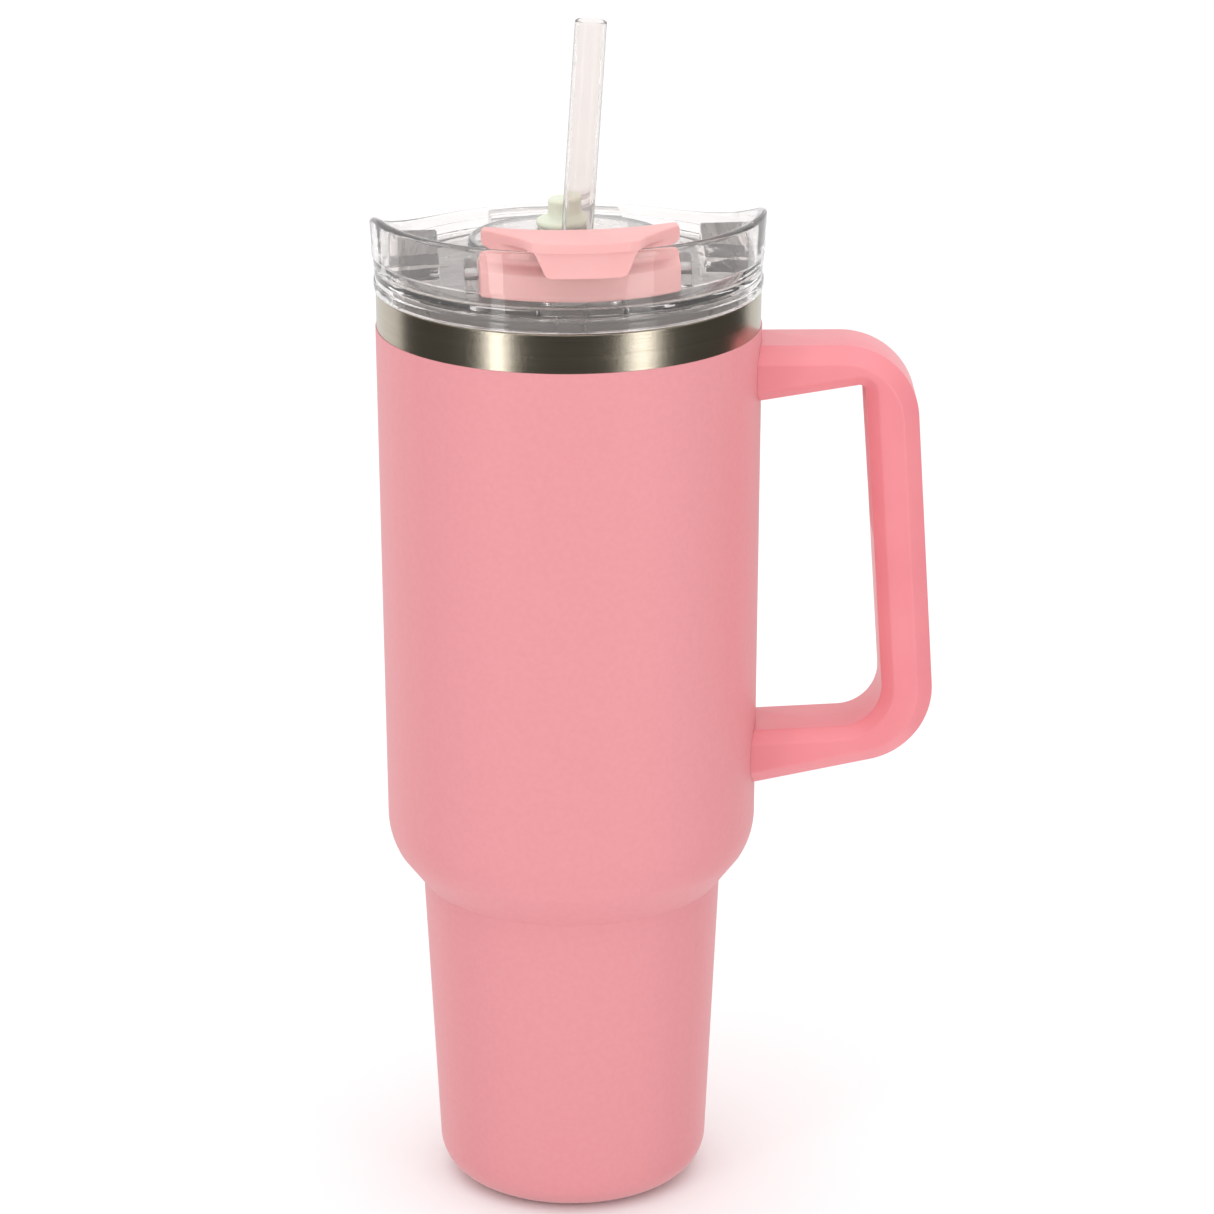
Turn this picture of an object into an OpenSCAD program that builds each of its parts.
// Insulated tumbler with a side handle and a clear push-in lid.
// Millimetres, +Z up, origin at the centre of the flat base. The handle points along +X.
// The drinking side of the lid faces -Y, turned a little towards +X by lid_turn.

/* [Vessel] */
// Height of the steel vessel from base to lip
vessel_h = 248.2; // [244:0.2:254]
// Outer diameter over the coat at the lip
mouth_d = 100.6; // [99.6:0.1:101.4]
// Outer diameter over the coat at the foot of the straight barrel
barrel_d = 98; // [97:0.1:99]
// Height at which the shoulder curve runs into the barrel
shoulder_h = 104; // [102:0.5:106]
// Height of the sharp crease between shoulder and stem
crease_h = 85.5; // [83:0.5:87]
// Outer diameter over the coat at the crease
crease_d = 79.5; // [78:0.5:81]
// Outer diameter over the coat at the foot of the stem
stem_d = 72.1; // [70:0.1:74]
// Radius of the rounded foot
foot_r = 11; // [9:0.5:12]
// Height of the bare steel band below the lip
band_h = 10.2; // [8:0.2:12]
// Thickness of the powder coat
coat_t = 0.3; // [0.2:0.05:0.4]
// Wall of the outer shell
shell_t = 0.8; // [0.6:0.1:1]
// Width of the vacuum gap
vacuum_gap = 2.2; // [1.6:0.1:2.4]
// Wall of the inner liner
liner_t = 0.6; // [0.5:0.1:0.8]

/* [Handle] */
// Height of the top of the upper arm
handle_top = 233.8; // [230:0.2:236]
// Width of the handle front to back
handle_w = 25; // [22:0.5:28]
// Reach of the handle from the vessel axis at its widest
handle_reach = 95.6; // [94:0.2:98]
// Chamfer along the handle's long edges
handle_chamfer = 3.4; // [2:0.1:4]

/* [Lid] */
// Turn of the lid about the vessel axis, positive from -Y towards +X
lid_turn = 5; // [0:1:10]
// Height of the rim above the vessel lip at the mouthpiece
rim_front = 21.1; // [20.6:0.1:21.6]
// Height of the rim above the vessel lip at the back
rim_back = 9.8; // [9.4:0.1:10.4]
// Radius of the raised turret that carries the straw hole
turret_r = 26; // [24:0.5:27]

/* [Straw] */
// Outer diameter of the straw
straw_d = 8.2; // [7:0.1:9]
// Wall of the straw
straw_wall = 0.9; // [0.7:0.1:1.2]
// Length of the straw
straw_l = 312; // [300:1:320]
// Lean of the straw towards +X
straw_lean = 3.9; // [3:0.1:4.5]

/* [Hidden] */
$fn = 96;

// Colours
steel = [0.62, 0.60, 0.56];
pink = [0.95, 0.62, 0.64];
handle_pink = [0.98, 0.55, 0.59];
cap_pink = [0.97, 0.70, 0.70];
clear = [0.86, 0.85, 0.90, 0.35];
silicone = [0.86, 0.86, 0.84, 0.8];
mint = [0.84, 0.90, 0.80];
frost = [0.91, 0.88, 0.86, 0.6];
alloy = [0.45, 0.45, 0.47];
zinc = [0.7, 0.7, 0.72];

// Vessel, derived
mouth_r = mouth_d / 2;
barrel_r = barrel_d / 2;
crease_r = crease_d / 2;
stem_r = stem_d / 2;
liner_out = coat_t + shell_t + vacuum_gap;
liner_in = liner_out + liner_t;
liner_floor = 6.4;
shoulder_slope = 30;
cap_r = stem_r - foot_r;
cap_t = 0.8;
ring_groove = [19.6, 22.4, 1];
getter_cup_r = 7;
getter_cup_h = 0.6;
pellet_r = 5;
pellet_h = 1.6;

// Handle, derived
bend_r = 20.3;
inner_bend_r = 11.2;
arm_gap = 0.3;
grip_lean = 4;
handle_foot = 113.6;
lower_arm_top = 128.7;
upper_arm_under = 219.4;
under_slope = 9.2;
foot_slope = 9.6;
arm_top_slope = 2.6;
lug = [14, 12, 6.4];
lug_root = 47;
lug_end = 63.1;
lug_fit = 0.15;
upper_lug_z = 227.6;
lower_lug_z = 121.9;
screw_x = 56;
screw_r = 1.5;
screw_head_r = 2.7;
screw_head_h = 1.6;
plug_h = 1.3;
screw_floor = 1;
screw_run = 5;
well_h = 12;
part_fit = 0.1;

// Lid heights, measured from the base of the vessel
seat_z = vessel_h + 0.1;
rim_z = vessel_h + rim_front;
rim_back_z = vessel_h + rim_back;
deck_z = vessel_h + 5.5;
deck_t = 2.2;
turret_z = vessel_h + 12.8;
turret_front = -20.5;
turret_wall = 2;
skirt_z = vessel_h - 12;
skirt_r = 44.6;
skirt_wall = 2.2;
flange_r = 50.5;
fall_start = -12;
fall_run = 54;
fall_power = 1.7;
seal_h = 2.4;
seal_groove = 1;
seal_r = 46.1;
seal_zs = [vessel_h - 3.4, vessel_h - 8.4];

// Sip opening, cheeks and bridge, in the lid's own axes
root = 0.5;
wall_mid_r = 49;
cheek_in = 34;
cheek_out = 47.6;
cheek_w = 13;
cheek_h = 11;
bridge_hw = 17.5;
bridge_h = 5;
slot_edge = 1.6;
sip_y = -36.5;
sip_len = 22;
sip_w = 8;

// Flip cap, in the lid's own axes
cap_hw = 25;
cap_front_r = 43.3;
hinge_y = -26;
hinge_z = vessel_h + 10;
barrel_out = 3.8;
pin_r = 1.25;
pin_run = 0.05;
pin_in = 17;
arm_in = 15.4;
seal_grow = 1.2;
seal_top = 2.6;
ear_in = cap_hw + 0.5;
ear_out = ear_in + 3;
ear_r = 4;
bar_top = vessel_h + 24.2;
bar_bottom = vessel_h + 17.8;
lip_bottom = vessel_h + 21.4;
tab_in = 51.75;
tab_out = 53.7;
tab_foot = vessel_h + 14.8;
tab_top_hw = 13.9;
tab_foot_hw = 8.8;

// Straw and stopper, in the lid's own axes
hole_r = 5.95;
hole_y = -4.7;
straw_x = 1.8;
straw_ref_z = 262;
park_y = 10;
park_r = 5.9;
park_depth = 4.6;
stopper_r = 5.7;
stopper_flange_r = 7.5;
knob_r = 4.45;

// Points along an arc about [cx, cy], from angle a0 to a1
function arc(cx, cy, r, a0, a1, n = 10) =
    [for (i = [0 : n]) let (a = a0 + (a1 - a0) * i / n) [cx + r * cos(a), cy + r * sin(a)]];

function flip(list) = [for (i = [len(list) - 1 : -1 : 0]) list[i]];

function but_last(list) = [for (i = [0 : len(list) - 2]) list[i]];

// Half outline of the vessel wall, d millimetres inside the coat, standing on floor_z
shoulder_arc = 20;
shoulder_cr = barrel_r - shoulder_arc;
function wall_line(d, floor_z = 0) = concat(
    arc(cap_r, floor_z + foot_r - d, foot_r - d, -88, -2.9, 9),
    [[crease_r - d * 0.86, crease_h + d * 0.3]],
    arc(shoulder_cr, shoulder_h, shoulder_arc - d, -shoulder_slope, 0, 8),
    [[mouth_r - d, vessel_h]]);

module lathe(points) {
    rotate_extrude($fn = 128) polygon(points);
}

// Everything on the lid is drawn in the lid's own axes and turned once
module on_lid() {
    rotate([0, 0, lid_turn]) children();
}

// The straw's own axis: through the straw hole, leaning towards the vessel's +X
module on_straw() {
    translate([straw_x, hole_y, straw_ref_z])
        rotate([0, 0, -lid_turn]) rotate([0, straw_lean, 0]) children();
}

// ---------- vessel ----------

// Liner wall from its rounded foot to the lip, where it flares out to meet the shell
module inner_liner() {
    shell_face = mouth_r - coat_t - shell_t;
    color(steel) lathe(concat(
        [[cap_r, liner_floor - liner_t]],
        but_last(wall_line(liner_out, liner_floor - liner_t)),
        [[mouth_r - liner_out, vessel_h - 3], [mouth_r - liner_out + 1.2, vessel_h - 1.4],
         [shell_face, vessel_h - 0.7], [shell_face, vessel_h]],
        flip(wall_line(liner_in, liner_floor)),
        [[cap_r, liner_floor]]));
}

// The liner's flat floor, on which the straw stands
module liner_base() {
    color(steel) translate([0, 0, liner_floor - liner_t]) cylinder(r = cap_r, h = liner_t, $fn = 128);
}

module outer_shell() {
    shell_out = wall_line(coat_t);
    shell_in = wall_line(coat_t + shell_t);
    color(steel) lathe(concat(shell_out, flip(shell_in)));
}

// The coat stops short of the floor and leaves the band at the lip bare
module powder_coat() {
    coat_top = vessel_h - band_h;
    coat_foot = 0.3;
    color(pink) intersection() {
        lathe(concat(wall_line(0), flip(wall_line(coat_t))));
        translate([0, 0, coat_foot]) cylinder(r = mouth_r + 1, h = coat_top - coat_foot);
    }
}

module base_cap() {
    press_fit = 0.3;
    color(steel) difference() {
        union() {
            cylinder(r = cap_r + press_fit, h = cap_t);
            cylinder(r = ring_groove[1] + cap_t, h = ring_groove[2] + cap_t);
        }
        difference() {
            translate([0, 0, -1]) cylinder(r = ring_groove[1], h = 1 + ring_groove[2]);
            translate([0, 0, -2]) cylinder(r = ring_groove[0], h = 5);
        }
        translate([0, 0, cap_t]) cylinder(r = ring_groove[0] - cap_t, h = 5);
    }
}

// The pellet that keeps the vacuum, held in a cup on the inside of the base cap
module getter() {
    color(alloy) translate([0, 0, cap_t]) {
        cylinder(r = getter_cup_r, h = getter_cup_h);
        translate([0, 0, getter_cup_h]) cylinder(r = pellet_r, h = pellet_h);
    }
}

// ---------- handle ----------

// Side outline of the handle, in X and Z, arms running into the vessel
grip_x = handle_reach - bend_r;
upper_bend = [grip_x - 4.6, handle_top - bend_r];
lower_bend = [grip_x, handle_foot + 26.2];
inner_bend = [grip_x - 4.4, lower_arm_top + 12.2];
inner_corner = [76.9, upper_arm_under + 4.2];
root_x = 40;
function slope_z(x, x0, z0, deg) = z0 + (x - x0) * tan(deg);

module outer_outline() {
    polygon(concat(
        [[root_x, handle_top]],
        arc(upper_bend[0], upper_bend[1], bend_r, 90, grip_lean, 12),
        arc(lower_bend[0], lower_bend[1], bend_r, grip_lean, -90 + foot_slope, 12),
        [[root_x, slope_z(root_x, 49.4, handle_foot, foot_slope)]]));
}

module inner_outline() {
    polygon(concat(
        [[root_x, slope_z(root_x, 50.2, upper_arm_under, under_slope)]],
        [inner_corner],
        arc(inner_bend[0], inner_bend[1], inner_bend_r, grip_lean, -90 + arm_top_slope, 8),
        [[root_x, slope_z(root_x, 50, lower_arm_top, arm_top_slope)]]));
}

// A slab of the handle's outline, centred on Y = 0
module slab(width, inset) {
    rotate([90, 0, 0]) linear_extrude(width, center = true) difference() {
        offset(delta = -inset) outer_outline();
        offset(delta = inset) inner_outline();
    }
}

// The chamfer is built as steps of thinner slabs
module handle_blank() {
    steps = 3;
    for (i = [0 : steps])
        slab(handle_w - 2 * handle_chamfer * (1 - i / steps), handle_chamfer * i / steps * 0.9);
}

// Everything inside the coat's outer face, or grow millimetres outside it
module vessel_core(grow = 0) {
    lathe(concat([[0, -grow]], wall_line(-grow), [[0, vessel_h]]));
}

module lug_block(z, grow = 0) {
    translate([lug_root, -lug[1] / 2 - grow, z - lug[2] / 2 - grow])
        cube([lug_end - lug_root + grow, lug[1] + 2 * grow, lug[2] + 2 * grow]);
}

// Screws stand upright in the lugs and enter from the arms' undersides
module screw_place() {
    translate([screw_x, 0, upper_lug_z - lug[2] / 2]) children();
    translate([screw_x, 0, lower_lug_z - lug[2] / 2]) children();
}

module handle_shell() {
    color(handle_pink) difference() {
        handle_blank();
        vessel_core(arm_gap);
        for (z = [upper_lug_z, lower_lug_z]) lug_block(z, lug_fit);
        screw_place() {
            translate([0, 0, -well_h]) cylinder(r = screw_r + part_fit, h = well_h + screw_floor);
            translate([0, 0, -well_h]) cylinder(r = screw_head_r + part_fit, h = well_h - screw_floor);
        }
        insert_block(part_fit);
    }
}

// Strip let into the inner face of the grip
insert_hw = 8.2;
insert_t = 1.6;
insert_top = upper_arm_under + 2.2;
insert_foot = lower_arm_top + 13;
insert_proud = 0.35;
function grip_face(z) = inner_corner[0] + (inner_corner[1] - z) * tan(grip_lean);
module insert_block(grow = 0) {
    low = insert_foot - grow;
    high = insert_top + grow;
    deep = insert_t + grow;
    rotate([90, 0, 0]) linear_extrude(2 * (insert_hw + grow), center = true)
        polygon([[grip_face(low) - insert_proud, low], [grip_face(low) + deep, low],
                 [grip_face(high) + deep, high], [grip_face(high) - insert_proud, high]]);
}

module grip_insert() {
    color(handle_pink) insert_block();
}

module lug_part(z) {
    color(steel) difference() {
        lug_block(z);
        vessel_core();
        translate([screw_x, 0, z - lug[2] / 2 - screw_run]) cylinder(r = screw_r, h = 2 * screw_run);
    }
}

module upper_lug() {
    lug_part(upper_lug_z);
}

module lower_lug() {
    lug_part(lower_lug_z);
}

module handle_screws() {
    color(zinc) screw_place() {
        translate([0, 0, -screw_floor]) cylinder(r = screw_r, h = screw_floor + screw_run);
        translate([0, 0, -screw_floor - screw_head_h]) cylinder(r = screw_head_r, h = screw_head_h);
    }
}

module screw_plugs() {
    color(handle_pink) screw_place()
        translate([0, 0, -screw_floor - screw_head_h - plug_h - part_fit])
            cylinder(r = screw_head_r, h = plug_h);
}

// ---------- lid ----------

// Wall, deck and plug skirt, all turned about the lid's axis
module lid_lathe() {
    tip_r = 1.2;
    tip = [flange_r - 0.35, rim_z - tip_r];
    rest_r = 46.4;
    lathe(concat(
        [[0, deck_z - deck_t], [skirt_r - skirt_wall, deck_z - deck_t],
         [skirt_r - skirt_wall, skirt_z], [skirt_r - 0.5, skirt_z], [skirt_r, skirt_z + 1]],
        [for (z = flip(seal_zs)) each [[skirt_r, z - seal_h], [skirt_r - seal_groove, z - seal_h],
                                       [skirt_r - seal_groove, z], [skirt_r, z]]],
        [[skirt_r, deck_z - deck_t - 1], [skirt_r + 1, deck_z - deck_t], [rest_r, deck_z - deck_t],
         [rest_r, seat_z], [flange_r, seat_z], [flange_r, seat_z + 2.5], [50.15, seat_z + 2.7],
         [50.7, seat_z + 9.4], [50.9, seat_z + 9.7], [51, seat_z + 14.7], [51.35, rim_z - 2.6]],
        arc(tip[0], tip[1], tip_r, 0, 180, 8),
        [[48.5, deck_z + 4], [47.8, deck_z + 1], [46.8, deck_z], [0, deck_z]]));
}

// Everything above the falling line of the rim, seen from the side
module above_rim() {
    top = rim_z + 20;
    clear_of_tip = 0.3;
    drop = rim_z + clear_of_tip - rim_back_z;
    steps = 14;
    fall = [for (i = [0 : steps]) [fall_start + fall_run * i / steps,
            rim_z + clear_of_tip - drop * pow(sin(90 * i / steps), fall_power)]];
    rotate([90, 0, 90]) linear_extrude(140, center = true)
        polygon(concat([[fall_start, top]], fall, [[60, rim_back_z], [60, top]]));
}

module turret_solid(inset, z0, z1) {
    intersection() {
        translate([0, 0, z0]) cylinder(r = turret_r - inset, h = z1 - z0);
        translate([-50, turret_front + inset, z0]) cube([100, 100, z1 - z0]);
    }
}

module sip_slot(grow, z0, z1) {
    reach = sip_len / 2 - sip_w / 2;
    for (s = [-1, 1]) translate([s * reach, sip_y, z0]) cylinder(r = sip_w / 2 + grow, h = z1 - z0);
    translate([-reach, sip_y - sip_w / 2 - grow, z0]) cube([2 * reach, sip_w + 2 * grow, z1 - z0]);
}

// Ear that carries one end of the cap's hinge
module ear() {
    translate([ear_in, 0, 0]) {
        translate([0, hinge_y - ear_r, deck_z - root])
            cube([ear_out - ear_in, 2 * ear_r, hinge_z - deck_z + root]);
        translate([0, hinge_y, hinge_z]) rotate([0, 90, 0]) cylinder(r = ear_r, h = ear_out - ear_in);
    }
}

// Clear block that stiffens the wall beside the turret
module cheek() {
    intersection() {
        translate([cheek_in, -cheek_w, deck_z - root]) cube([cheek_out - cheek_in, cheek_w, cheek_h]);
        rotate([90, 0, 90]) linear_extrude(cheek_out)
            polygon([[-cheek_w, 0], [-cheek_w, deck_z + 4], [0, deck_z + 10.2], [0, 0]]);
        cylinder(r = wall_mid_r, h = rim_z);
    }
}

module lid_body() {
    color(clear) on_lid() difference() {
        union() {
            difference() {
                lid_lathe();
                above_rim();
            }
            turret_solid(0, deck_z - root, turret_z);
            sip_slot(slot_edge, deck_z - root, deck_z + 0.25);
            for (m = [0, 1]) mirror([m, 0, 0]) {
                ear();
                cheek();
            }
            // Bridge from the turret to the back of the wall
            intersection() {
                translate([-bridge_hw, park_y, deck_z - root]) cube([2 * bridge_hw, wall_mid_r, bridge_h]);
                cylinder(r = wall_mid_r, h = rim_z);
            }
        }
        difference() {
            turret_solid(turret_wall, 0, turret_z - deck_t);
            translate([0, park_y, turret_z - deck_t - park_depth])
                cylinder(r = park_r + 1.5, h = park_depth + 1);
        }
        translate([0, hole_y, deck_z - 5]) cylinder(r = hole_r, h = 30);
        translate([0, park_y, turret_z - park_depth]) cylinder(r = park_r, h = park_depth + 1);
        sip_slot(0, deck_z - 5, deck_z + 5);
        for (m = [0, 1]) mirror([m, 0, 0])
            translate([ear_in - 1, hinge_y, hinge_z]) rotate([0, 90, 0]) cylinder(r = pin_r, h = 5);
    }
}

// A ring that fills its groove and reaches out in two lips
module lid_seal(z) {
    in_r = skirt_r - seal_groove;
    color(silicone) lathe([[in_r, z - seal_h], [seal_r - 0.6, z - seal_h], [seal_r, z - seal_h + 0.5],
        [seal_r - 0.9, z - seal_h / 2], [seal_r, z - 0.5], [seal_r - 0.6, z], [in_r, z]]);
}

module upper_lid_seal() {
    lid_seal(seal_zs[0]);
}

module lower_lid_seal() {
    lid_seal(seal_zs[1]);
}

module hinge_pins() {
    color(zinc) on_lid() for (m = [0, 1]) mirror([m, 0, 0])
        translate([pin_in + 0.6, hinge_y, hinge_z]) rotate([0, 90, 0])
            cylinder(r = pin_r, h = ear_out - pin_in - 0.6);
}

// ---------- flip cap ----------

module cap_block() {
    foot = deck_z + 0.7;
    crown_r = 130;
    crown_z = bar_bottom + 1;
    intersection() {
        rotate([90, 0, 90]) linear_extrude(2 * cap_hw, center = true)
            polygon([[-44, foot], [-44, foot + 7.2], [-40, foot + 9.6], [-38, crown_z],
                     [-31, crown_z], [-30, foot + 8], [hinge_y, foot + 7.6], [hinge_y, foot]]);
        cylinder(r = cap_front_r, h = 400);
        translate([0, 0, crown_z - crown_r]) rotate([90, 0, 0])
            cylinder(r = crown_r, h = 200, center = true, $fn = 200);
    }
}

// The wing bar that a thumb lifts, with a concave back edge and scooped fronts
module wing_bar() {
    back_r = 54;
    back_y = -38.6 + back_r;
    wing_back = -28;
    wing_front = -36.2;
    nose_front = -45;
    scoop_r = 6.4;
    difference() {
        translate([0, 0, bar_bottom]) linear_extrude(bar_top - bar_bottom) difference() {
            polygon([[-cap_hw, wing_back], [-cap_hw, wing_front], [-tab_top_hw, nose_front],
                     [tab_top_hw, nose_front], [cap_hw, wing_front], [cap_hw, wing_back]]);
            translate([0, back_y]) circle(r = back_r, $fn = 200);
        }
        for (m = [0, 1]) mirror([m, 0, 0])
            translate([18.6, -46.6, bar_bottom + 1]) rotate([0, 12, 32])
                rotate([0, 90, 0]) cylinder(r = scoop_r, h = 17, center = true);
    }
}

// Lip over the rim and the tab that hangs in front of the wall
module cap_tab() {
    round_w = 1.6;
    round_h = 1.4;
    intersection() {
        difference() {
            translate([0, 0, tab_foot]) cylinder(r = tab_out, h = bar_top - tab_foot, $fn = 160);
            translate([0, 0, tab_foot - 1]) cylinder(r = tab_in, h = lip_bottom - tab_foot + 1, $fn = 160);
        }
        translate([0, -40, 0]) rotate([90, 0, 0]) linear_extrude(20)
            polygon([[-tab_top_hw, bar_top + 1], [-tab_top_hw, lip_bottom],
                     [-tab_foot_hw - round_w, tab_foot + round_h], [-tab_foot_hw, tab_foot],
                     [tab_foot_hw, tab_foot], [tab_foot_hw + round_w, tab_foot + round_h],
                     [tab_top_hw, lip_bottom], [tab_top_hw, bar_top + 1]]);
    }
}

module cap_barrel() {
    translate([arm_in, hinge_y, hinge_z]) rotate([0, 90, 0])
        cylinder(r = barrel_out, h = cap_hw - arm_in);
}

module flip_cap() {
    color(cap_pink) on_lid() difference() {
        union() {
            difference() {
                cap_block();
                // Open middle behind the block, between the two hinge arms
                translate([-arm_in, -34.4, 0]) cube([2 * arm_in, 20, bar_bottom]);
                translate([-50, hinge_y, 0]) cube([100, 20, 400]);
            }
            wing_bar();
            cap_tab();
            for (m = [0, 1]) mirror([m, 0, 0]) cap_barrel();
        }
        sip_slot(seal_grow, 0, deck_z + seal_top);
        for (m = [0, 1]) mirror([m, 0, 0])
            translate([pin_in, hinge_y, hinge_z]) rotate([0, 90, 0])
                cylinder(r = pin_r + pin_run, h = 20);
    }
}

module sip_seal() {
    color(silicone) on_lid() sip_slot(seal_grow, deck_z + 0.45, deck_z + seal_top);
}

// ---------- stopper and straw ----------

module stopper() {
    color(mint) on_lid() translate([0, park_y, turret_z]) rotate_extrude() polygon(concat(
        [[0, 0.4 - park_depth], [stopper_r - 0.8, 0.4 - park_depth], [stopper_r, 1.2 - park_depth],
         [stopper_r, 0.1], [stopper_flange_r - 0.5, 0.1]],
        arc(stopper_flange_r - 1.2, 1.5, 1.2, -60, 90, 6),
        [[knob_r + 0.5, 2.75]],
        arc(knob_r - 0.9, 7.4, 0.9, 0, 90, 5),
        [[2, 8], [0, 7.6]]));
}

module straw() {
    stand_off = 0.6;
    down = (straw_ref_z - liner_floor - stand_off) / cos(straw_lean);
    color(frost) on_lid() on_straw() translate([0, 0, -down]) difference() {
        cylinder(d = straw_d, h = straw_l, $fn = 48);
        translate([0, 0, -1]) cylinder(d = straw_d - 2 * straw_wall, h = straw_l + 2, $fn = 48);
    }
}

inner_liner();
liner_base();
outer_shell();
powder_coat();
base_cap();
getter();
upper_lug();
lower_lug();
handle_shell();
grip_insert();
handle_screws();
screw_plugs();
lid_body();
upper_lid_seal();
lower_lid_seal();
hinge_pins();
flip_cap();
sip_seal();
stopper();
straw();
